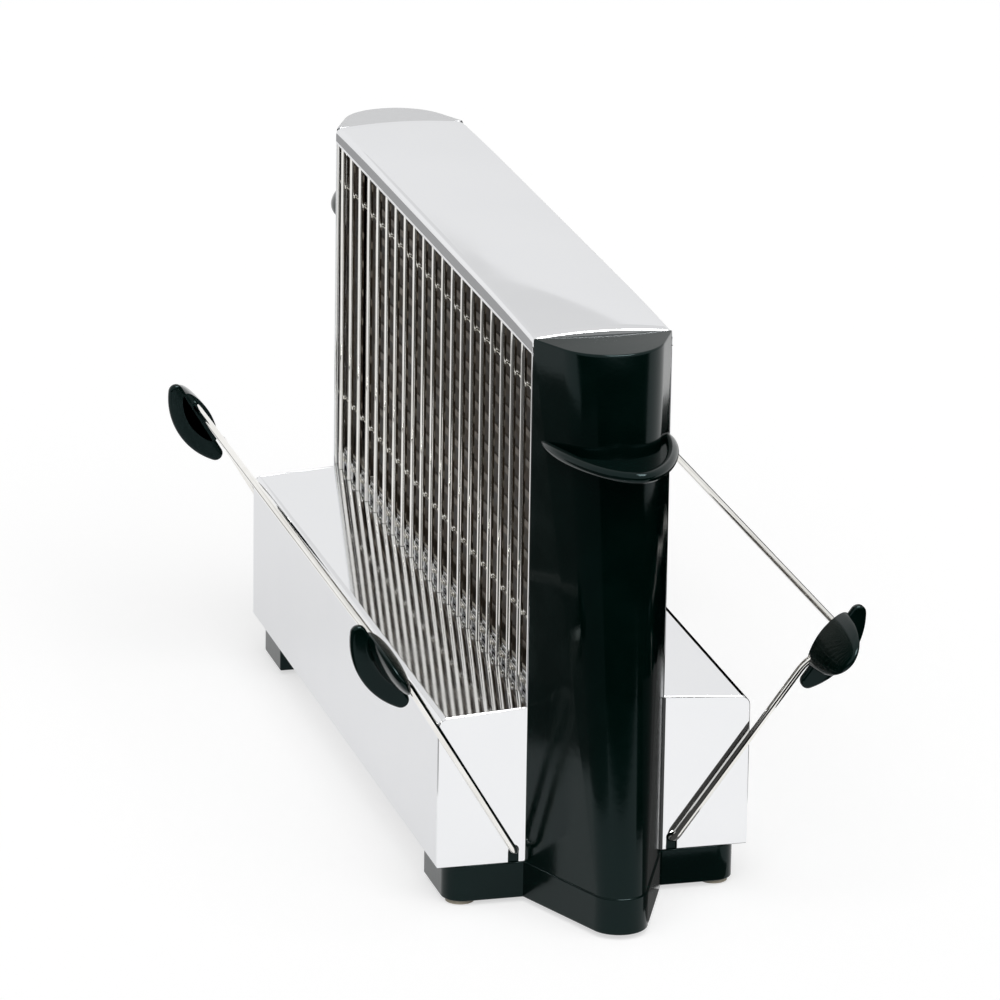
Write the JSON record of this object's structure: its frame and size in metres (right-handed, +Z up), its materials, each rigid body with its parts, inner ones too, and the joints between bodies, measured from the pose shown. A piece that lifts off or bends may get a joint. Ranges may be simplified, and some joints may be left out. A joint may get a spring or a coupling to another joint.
{
  "type": "toaster",
  "caption": "Upright toaster with a heated grille tower on a polished steel base and hinged wire racks that hold rolls against both faces of the tower.",
  "frame": {"origin": "on the surface that the pads stand on, under the middle of the base box", "axes": "+X to the right seen from the near end, +Y along the toaster towards the far end, +Z up"},
  "size_m": [0.1715, 0.357, 0.1917],
  "materials": {
    "polished_steel": "mirror-polished stainless sheet",
    "plain_steel": "mill-finish steel",
    "bright_wire": "bright nickel-plated wire",
    "black_plastic": "glossy black moulding",
    "mica": "pressed mica board",
    "heater_alloy": "oxidised resistance ribbon",
    "steatite": "unglazed steatite",
    "brass": "plain brass",
    "lead_sleeve": "glass-fibre sleeve",
    "bush_rubber": "moulded rubber",
    "pad_rubber": "pale soft rubber"
  },
  "bodies": {
    "frame": {"foot_moulding_near": "black_plastic", "foot_moulding_far": "black_plastic", "column_near": "black_plastic", "column_far": "black_plastic", "column_top_plate_far": "polished_steel", "end_plate_near": "polished_steel", "end_plate_far": "polished_steel", "base_side_left": "polished_steel", "base_side_right": "polished_steel", "bottom_plate": "plain_steel", "top_cap": "polished_steel", "grille_left": "bright_wire", "grille_right": "bright_wire", "element_rail_lower": "steatite", "element_rail_upper": "steatite", "reflector_plate": "plain_steel", "mica_board_left": "mica", "mica_board_right": "mica", "heater_ribbon_left": "heater_alloy", "heater_ribbon_right": "heater_alloy", "terminal_block": "steatite", "terminal_screws": "brass", "lead_wires": "lead_sleeve", "earth_tag": "brass", "earth_screw": "brass", "cord_bush": "bush_rubber", "foot_pads": "pad_rubber", "foot_screws": "plain_steel", "column_screws": "plain_steel"},
    "rack_left": {"rack_wire_left": "bright_wire", "rack_grip_left_near": "black_plastic", "rack_grip_left_far": "black_plastic", "pivot_retainers_left": "plain_steel"},
    "rack_right": {"rack_wire_right": "bright_wire", "rack_grip_right_near": "black_plastic", "rack_grip_right_far": "black_plastic", "pivot_retainers_right": "plain_steel"}
  },
  "joints": [
    {"name": "rack_left_hinge", "type": "hinge", "parent": "frame", "child": "rack_left", "pos_m": [-0.0265, 0, 0.0179], "axis": [0, -1, 0], "range_deg": [-31.1, 48.9]},
    {"name": "rack_right_hinge", "type": "hinge", "parent": "frame", "child": "rack_right", "pos_m": [0.0265, 0, 0.0179], "axis": [0, 1, 0], "range_deg": [-36.6, 43.4]}
  ]
}
